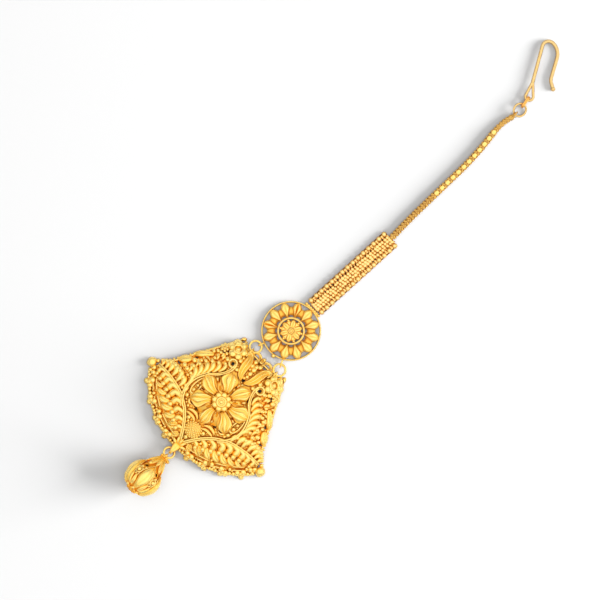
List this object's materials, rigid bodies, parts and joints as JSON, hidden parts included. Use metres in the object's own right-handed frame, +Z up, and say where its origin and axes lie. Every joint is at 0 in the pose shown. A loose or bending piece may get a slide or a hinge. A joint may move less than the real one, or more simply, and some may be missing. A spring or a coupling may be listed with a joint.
{
  "type": "gold maang tikka",
  "caption": "Gold forehead jewel: a hair hook and fine chain, beaded woven strands, a petalled rosette, a pierced domed fan pendant and an openwork ball drop.",
  "frame": {"origin": "middle of the footprint, on the surface that the jewel lies on", "axes": "+Z up out of the surface, +Y along the jewel from the ball drop to the hair hook, +X to the wearer's left as the pendant faces up"},
  "size_m": [0.037, 0.1392, 0.0088],
  "materials": {
    "gold": "polished high-carat yellow gold, warmer in the recesses"
  },
  "bodies": {
    "root": {"hair_hook": "gold", "hook_link": "gold", "hook_ring": "gold", "chain": "gold", "strand_band": "gold", "bead_row_left": "gold", "bead_row_right": "gold", "rosette": "gold", "link_ring_left": "gold", "link_ring_right": "gold", "pendant": "gold", "drop_ring": "gold", "drop": "gold"}
  },
  "joints": []
}
